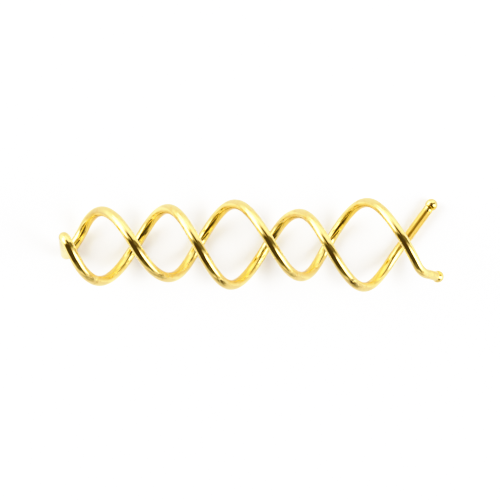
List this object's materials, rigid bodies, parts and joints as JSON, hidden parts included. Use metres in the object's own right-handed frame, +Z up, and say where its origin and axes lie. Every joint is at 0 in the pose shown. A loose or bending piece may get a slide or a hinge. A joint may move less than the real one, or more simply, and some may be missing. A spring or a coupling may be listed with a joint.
{
  "type": "spiral bun pin",
  "caption": "Wire hair pin folded at its head, with two legs twisted into a right-handed double helix with ball tips, screwed into a bun to hold it.",
  "frame": {"origin": "on the plane that the pin lies on, under the middle of its length and width", "axes": "+X along the helix axis from the head to the ball tips, +Z up from the plane that the pin lies on, +Y across it"},
  "size_m": [0.075, 0.0184, 0.0162],
  "materials": {
    "gold_plate": "polished gold plating on steel wire"
  },
  "bodies": {
    "root": {"pin": "gold_plate"}
  },
  "joints": []
}
